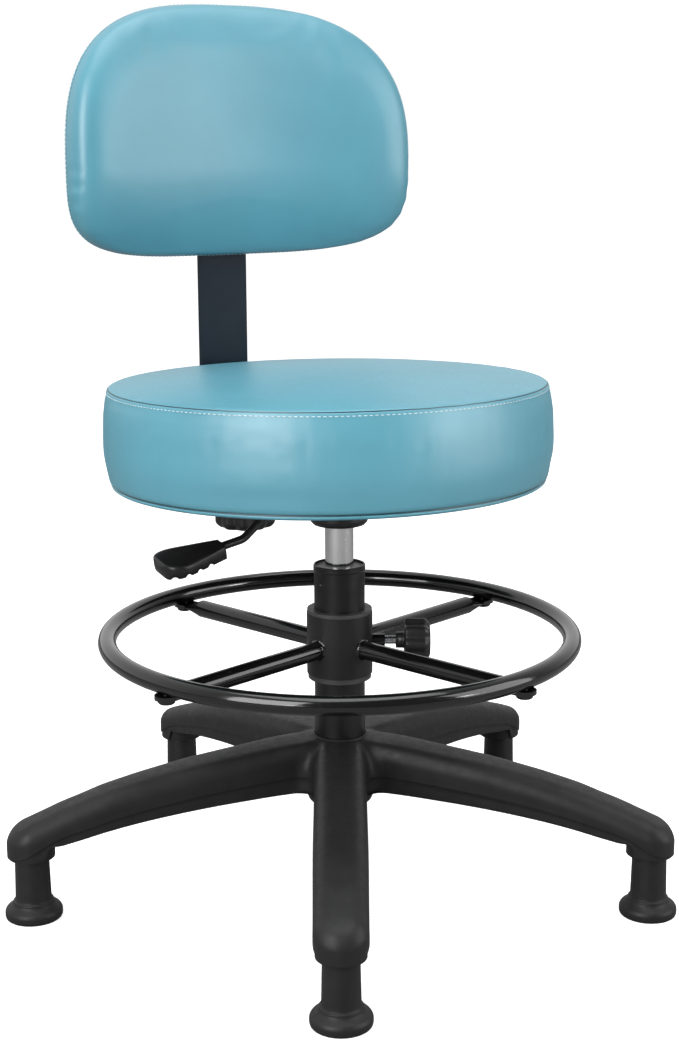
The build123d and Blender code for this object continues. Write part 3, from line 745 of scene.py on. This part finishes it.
def leg_column(inner, outer, shoulder, outward):
    """The moulding's skin at one station, from the spine over the edge to its inside."""
    column = []
    gap = (outer - inner).length
    for share in (0, 0.2, 0.38, 0.54, 0.66, 0.75, 0.82, 0.875, 0.915, 0.945, 0.968, 0.984,
                  0.995, 1):
        p = inner.lerp(outer, share)
        inside = (1 - share) * gap
        near = max(shoulder - inside, 0) / shoulder
        drop = shoulder * (1 - math.sqrt(max(1 - near * near, 0)))
        crown = 1.2 * share * share
        column.append((p.x, p.y, along_curve(SPINE, p.length) - drop - crown))
    reach = outer.length
    wall_top = column[-1][2]
    edge = min(along_curve(EDGE_LINE, reach), wall_top - 2)
    low = along_curve(SKIRT_LOW, reach)
    low = low + (CUP_LOW - low) * smoothstep((reach - 297.0) / 7.0)
    for share in (0.25, 0.5, 0.75, 0.93):
        column.append((outer.x, outer.y, wall_top + (edge - wall_top) * share))
    for inset, height in ((0.0, edge + 0.35), (0.35, edge), (STEP_IN * 0.7, edge - 0.25),
                          (STEP_IN, edge - 0.9)):
        p = outer - outward * inset
        column.append((p.x, p.y, max(height, low + 0.5)))
    for share in (0.35, 0.7, 0.95):
        p = outer - outward * STEP_IN
        start = max(edge - 0.9, low + 0.5)
        column.append((p.x, p.y, start + (low + 0.5 - start) * share))
    for inset, rise in ((STEP_IN + 0.4, 0.0), (STEP_IN + 2.2, 0.0), (STEP_IN + 2.6, 0.6),
                        (STEP_IN + 2.9, 12.0)):
        p = outer - outward * inset
        column.append((p.x, p.y, low + rise))
    for share in (0.85, 0.6, 0.3, 0.02):
        p = inner.lerp(outer, share * (1 - (STEP_IN + 3) / max(gap, 6)))
        roof = along_curve(SPINE, p.length) - 5.0 - shoulder * 0.45 * share ** 3
        column.append((p.x, p.y, roof))
    return column


def rib(xs, ys, zs):
    """A thin stiffening rib under an arm."""
    verts = [(x, y, z) for z in zs for y in ys for x in xs]
    faces = [(0, 2, 3, 1), (4, 5, 7, 6), (0, 1, 5, 4), (2, 6, 7, 3), (0, 4, 6, 2), (1, 3, 7, 5)]
    return verts, faces


def at_each_arm(part, reach=0.0):
    """The part five times, once for each arm, moved out along the arm."""
    return [moved(part, Matrix.Rotation(LEG_TURN + LEG_STEP * k, 4, "Z")
                  @ Matrix.Translation((reach, 0, 0))) for k in range(5)]


def star_base():
    """The hollow one-piece moulding: five arms with their cups and ribs, hub and lip."""
    half = [leg_column(*station) for station in leg_path()]
    mirrored = [[(x, -y, z) for x, y, z in column] for column in reversed(half[:-1])]
    arm = half + mirrored
    verts = [point for column in arm for point in column]
    faces = [tuple(reversed(face))
             for face in grid_faces(len(arm), len(arm[0]), closed_columns=False)]
    parts = [(verts, faces)]
    cup = rounded([(CUP_R - 4.6, 72), (CUP_R - 4.6, CUP_LOW), (CUP_R - STEP_IN, CUP_LOW),
                   (CUP_R - STEP_IN, 73)], 0.8)
    socket = [(6.6, 86), (6.6, CUP_LOW + 3), (10, CUP_LOW + 3), (10, 84)]
    for outline, segments in ((cup, 64), (socket, 32)):
        parts.append(moved(lathe_open(outline, segments),
                           Matrix.Translation((STEM_CIRCLE, 0, 0))))
    for x in (100, 150, 200, 250):
        low = along_curve(SKIRT_LOW, x) + 4
        high = along_curve(SPINE, x) - 9
        parts.append(rib((x - 1.3, x + 1.3), (-21, 21), (low, high)))
    parts.append(rib((46, STEM_CIRCLE - 24), (-1.3, 1.3), (101, 103)))
    hub = rounded([(24.2, 150), (23.9, 82), (31, 82), (35, 92), (46, 99), (56, 103)], 2.5)
    lip = rounded([(25.0, 149), (25.0, 152.2), (27.6, 152.2), (29.4, 149.5)], 1.0)
    arms = at_each_arm(merged(parts))
    piece = new_object("star_base_moulding",
                       *merged(arms + [lathe_open(hub, 120), lathe_open(lip, 120)]))
    weld = piece.modifiers.new("weld", "WELD")
    weld.merge_threshold = 0.05 * MM
    paint_piece(piece, "nylon")
    finish_piece(piece, "base", "nylon", "star_base")


# ---- glides, knobs, lever -----------------------------------------------------------
def bell_glides():
    """Five bell-shaped glides with a stepped foot."""
    outline = [(0, 0), (23.4, 0)]
    outline += rounded([(23.4, 0), (26.6, 0.2), (27.5, 2.6), (27.5, 7.4), (25.9, 10.2),
                        (20.6, 13.6)], 1.3)[1:-1]
    outline += rounded([(20.6, 13.6), (19.7, 15.2), (19.5, 17.2), (17.6, 18.4), (17.2, 22),
                        (16.4, 58.5), (15.6, 60.6), (12.0, 61.1)], 0.8)
    bells = at_each_arm(lathe(outline, 72), STEM_CIRCLE)
    piece = new_object("bell_glide_set", *merged(bells))
    paint_piece(piece, "nylon")
    finish_piece(piece, "base", "nylon", "bell_glides")


def fluted_knob(name, node, body, place, radius, height, lobes, neck_radius, neck):
    """A hand knob with rolled edges and soft flutes, standing on its neck."""
    section = rounded([(neck_radius, 0), (neck_radius, neck), (radius - 1.5, neck),
                       (radius, neck + 1.5), (radius, neck + height - 5),
                       (radius - 5, neck + height), (0.6, neck + height + 0.2)], 2.4, 7)
    around = lobes * 16
    verts = []
    for r, z in section:
        outer = smoothstep((r - radius * 0.55) / (radius * 0.4))
        for j in range(around):
            turn = 2 * math.pi * j / around
            wave = abs(math.cos(turn * lobes / 2)) ** 1.6
            reach = r - outer * radius * 0.13 * (1 - wave)
            verts.append((reach * math.cos(turn), reach * math.sin(turn), z))
    piece = new_object(name, *moved((verts, capped(len(section), around)), place))
    paint_piece(piece, "knob_plastic")
    finish_piece(piece, body, "knob_plastic", node)


def lever_paddle():
    """The finger paddle: flat top with a rolled rim and finger scallops underneath."""
    length, thick = 66.0, 15.5
    widths = [(0, 10.5), (24, 18.5), (41, 23.9), (49, 25.0), (57, 23.0), (62, 18.5),
              (65, 11.0), (66, 3.0)]
    stations, around = 60, 28
    verts = []
    for i in range(stations):
        x = length * (1 - (1 - i / (stations - 1)) ** 1.25)
        half = along_curve(widths, x)
        groove = 2.4 * max(0.0, math.cos((x - 19) / 13 * 2 * math.pi)) ** 0.7 * (12 < x < 62)
        end = min(1.0, 0.35 + (length - x) / 4)
        for j in range(around):
            turn = 2 * math.pi * j / around
            c, s = math.cos(turn), math.sin(turn)
            y = half * math.copysign(abs(c) ** 0.32, c)
            z = thick / 2 * math.copysign(abs(s) ** 0.42, s) * end
            low = smoothstep(-s * 3)
            verts.append((x, y, z - thick / 2 + low * groove))
    place = (Matrix.Translation(PADDLE_AT) @ Matrix.Rotation(math.pi, 4, "Z")
             @ Matrix.Rotation(PADDLE_ROLL, 4, "X") @ Matrix.Rotation(PADDLE_DROOP, 4, "Y"))
    piece = new_object("finger_paddle", *moved((verts, capped(stations, around)), place))
    paint_piece(piece, "paddle_plastic")
    finish_piece(piece, "release_lever", "paddle_plastic", "lever_paddle")


def weld_beads():
    """A rippled fillet weld round each spoke where it meets the footring's hub."""
    hub, pipe, height = 32.5, 9.0, 243.0
    around, section = 64, 9
    parts = []
    for k in range(4):
        verts = []
        for j in range(around):
            turn = 2 * math.pi * j / around
            ripple = 1 + 0.16 * math.sin(turn * 19 + k) + 0.08 * math.sin(turn * 7 + 2 * k)
            for i in range(section):
                lean = math.pi / 2 * i / (section - 1)
                off = pipe + 2.6 * ripple * (1 - math.sin(lean))
                y, z = off * math.cos(turn), off * math.sin(turn)
                skin = math.sqrt(hub * hub - y * y)
                verts.append((skin - 0.2 + 2.6 * ripple * (1 - math.cos(lean)), y, height + z))
        faces = grid_faces(around, section, closed_columns=False, closed_rows=True)
        parts.append(moved((verts, faces), Matrix.Rotation(SPOKE_TURN + math.pi / 2 * k, 4, "Z")))
    piece = new_object("spoke_welds", *merged(parts))
    paint_piece(piece, "ring_paint")
    finish_piece(piece, "footring", "ring_paint")


seat_topstitch(seat_cushion())
seat_underside()
back_topstitch(back_cushion())
star_base()
bell_glides()
ring_knob_place = (Matrix.Rotation(CLAMP_TURN, 4, "Z")
                   @ Matrix.Translation((RING_KNOB_AT, 0, CLAMP_HEIGHT))
                   @ Matrix.Rotation(math.pi / 2, 4, "Y"))
fluted_knob("footring_knob", "ring_knob", "ring_knob", ring_knob_place,
            radius=22.0, height=25.3, lobes=8, neck_radius=8.0, neck=8.5)
fluted_knob("depth_hand_knob", "depth_knob", "depth_knob",
            Matrix.Translation(DEPTH_KNOB_AT) @ Matrix.Rotation(math.pi, 4, "X"),
            radius=32.8, height=25.0, lobes=9, neck_radius=9.0, neck=7.0)
fluted_knob("height_hand_knob", "height_knob", "height_knob",
            Matrix.Translation(HEIGHT_KNOB_AT) @ Matrix.Rotation(-math.pi / 2, 4, "X"),
            radius=22.0, height=22.0, lobes=8, neck_radius=8.0, neck=7.0)
lever_paddle()
weld_beads()
# the cut and bent steel parts lose their knife edges
for name in ("back_bar", "bar_channel", "seat_plate", "lever_frame", "back_bracket"):
    edges = frame["nodes"][name].modifiers.new("edges", "BEVEL")
    edges.width = 0.8 * MM
    edges.segments = 2
    edges.limit_method = "ANGLE"
    edges.angle_limit = math.radians(40)


# ---- floor, light, camera -----------------------------------------------------------
def floor():
    """An endless white floor that the camera sees bright and the stool sees dim."""
    half = 30000.0
    piece = new_object("floor", [(-half, -half, 0), (half, -half, 0), (half, half, 0),
                                 (-half, half, 0)], [(0, 1, 2, 3)])
    m = Nodes("white_sweep")
    m.colour(m.noise(3, 2), (0.83, 0.83, 0.83), (0.85, 0.85, 0.85))
    m.set(Roughness=0.9, Specular_IOR_Level=0.05, Emission_Color=(1, 1, 1, 1),
          Emission_Strength=0.7)
    bounce = m.add("ShaderNodeBsdfDiffuse")
    bounce.inputs["Color"].default_value = (0.27, 0.27, 0.27, 1)
    rays, mix = m.add("ShaderNodeLightPath"), m.add("ShaderNodeMixShader")
    out = next(n for n in m.tree.nodes if n.type == "OUTPUT_MATERIAL")
    m.link(rays.outputs["Is Camera Ray"], mix.inputs["Fac"])
    m.link(bounce.outputs["BSDF"], mix.inputs[1])
    m.link(m.shader.outputs["BSDF"], mix.inputs[2])
    m.link(mix.outputs["Shader"], out.inputs["Surface"])
    piece.data.materials.append(m.material)


def softbox(name, place, aim, size, power, spread=180):
    """A rectangular area light aimed at a point; spread is in degrees."""
    data = bpy.data.lights.new(name, "AREA")
    data.shape = "RECTANGLE"
    data.size, data.size_y = size
    data.energy = power
    data.spread = math.radians(spread)
    lamp = bpy.data.objects.new(name, data)
    bpy.context.scene.collection.objects.link(lamp)
    lamp.location = place
    lamp.rotation_euler = (Vector(aim) - Vector(place)).to_track_quat("-Z", "Y").to_euler()
    lamp.visible_camera = False


def sky():
    """White studio: bright behind the stool, dimmer towards the viewer's side."""
    world = bpy.data.worlds.new("studio")
    bpy.context.scene.world = world
    world.use_nodes = True
    tree = world.node_tree
    tree.nodes.clear()
    coords = tree.nodes.new("ShaderNodeTexCoord")
    split = tree.nodes.new("ShaderNodeSeparateXYZ")
    ramp = tree.nodes.new("ShaderNodeMapRange")
    ramp.inputs["From Min"].default_value = -0.5
    ramp.inputs["From Max"].default_value = 0.6
    ramp.inputs["To Min"].default_value = 0.15
    ramp.inputs["To Max"].default_value = 1.05
    rays = tree.nodes.new("ShaderNodeLightPath")
    seen = tree.nodes.new("ShaderNodeBackground")
    seen.inputs["Color"].default_value = (1, 1, 1, 1)
    lit = tree.nodes.new("ShaderNodeBackground")
    mix = tree.nodes.new("ShaderNodeMixShader")
    out = tree.nodes.new("ShaderNodeOutputWorld")
    tree.links.new(coords.outputs["Generated"], split.inputs["Vector"])
    tree.links.new(split.outputs["Y"], ramp.inputs["Value"])
    tree.links.new(ramp.outputs["Result"], lit.inputs["Strength"])
    tree.links.new(rays.outputs["Is Camera Ray"], mix.inputs["Fac"])
    tree.links.new(lit.outputs["Background"], mix.inputs[1])
    tree.links.new(seen.outputs["Background"], mix.inputs[2])
    tree.links.new(mix.outputs["Shader"], out.inputs["Surface"])


def camera():
    """The view from the front left, turned by heading, pitch and a slight roll."""
    heading, pitch, roll = (math.radians(a) for a in (-29, 90 - 12.221, -0.2656))
    data = bpy.data.cameras.new("view")
    data.sensor_width = 36.0
    data.lens = 60.225
    data.shift_x = 0.00037
    data.clip_end = 200.0
    eye = bpy.data.objects.new("view", data)
    bpy.context.scene.collection.objects.link(eye)
    turn = (Matrix.Rotation(heading, 4, "Z") @ Matrix.Rotation(pitch, 4, "X")
            @ Matrix.Rotation(roll, 4, "Z"))
    eye.matrix_world = Matrix.Translation((-0.80584, -1.45378, 0.72755)) @ turn
    bpy.context.scene.camera = eye


floor()
sky()
softbox("key_left", (-2.4, -1.2, 1.5), (0, 0, 0.5), (1.6, 2.4), 76)
softbox("fill_right", (2.0, -2.0, 1.3), (0, 0, 0.5), (2.2, 2.6), 54)
softbox("seat_left", (-1.9, -1.6, 0.75), (0, 0.02, 0.455), (0.9, 0.4), 0.09, 13)
softbox("seat_right", (1.2, -2.1, 0.75), (0, 0.02, 0.455), (0.9, 0.4), 0.16, 13)
softbox("top", (0.0, -0.2, 3.0), (0, 0.1, 0.5), (2.4, 2.4), 45)
camera()
bpy.context.scene.view_settings.view_transform = "Standard"
